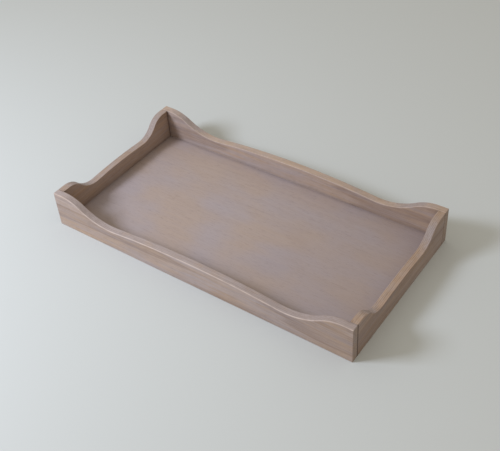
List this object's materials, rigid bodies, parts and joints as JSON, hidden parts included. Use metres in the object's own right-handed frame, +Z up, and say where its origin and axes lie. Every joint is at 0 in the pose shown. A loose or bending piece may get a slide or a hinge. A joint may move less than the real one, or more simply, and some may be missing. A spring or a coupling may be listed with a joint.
{
  "type": "changing pad tray",
  "caption": "Low rectangular wooden tray with scalloped long rails and end boards, raised flat corners and a thin grooved-in bottom panel, in a weathered grey-brown stain.",
  "frame": {"origin": "middle of the tray's footprint, on the plane that the four boards' bottom edges stand on", "axes": "+X along the length towards the right end board, +Y across towards the back rail, +Z up"},
  "size_m": [0.87, 0.454, 0.102],
  "materials": {
    "stained_board": "grey-brown stain under a thin matt lacquer",
    "stained_panel": "the same stain on veneered plywood, matt lacquer",
    "raw_softwood": "planed softwood, unfinished",
    "raw_dowel": "beech, unfinished"
  },
  "bodies": {
    "root": {"front_rail": "stained_board", "back_rail": "stained_board", "left_end": "stained_board", "right_end": "stained_board", "bottom_panel": "stained_panel", "batten_1": "raw_softwood", "batten_2": "raw_softwood", "batten_3": "raw_softwood", "corner_block_front_left": "raw_softwood", "corner_block_front_right": "raw_softwood", "corner_block_back_left": "raw_softwood", "corner_block_back_right": "raw_softwood", "dowel_front_left_1": "raw_dowel", "dowel_front_left_2": "raw_dowel", "dowel_front_left_3": "raw_dowel", "dowel_front_right_1": "raw_dowel", "dowel_front_right_2": "raw_dowel", "dowel_front_right_3": "raw_dowel", "dowel_back_left_1": "raw_dowel", "dowel_back_left_2": "raw_dowel", "dowel_back_left_3": "raw_dowel", "dowel_back_right_1": "raw_dowel", "dowel_back_right_2": "raw_dowel", "dowel_back_right_3": "raw_dowel"}
  },
  "joints": []
}
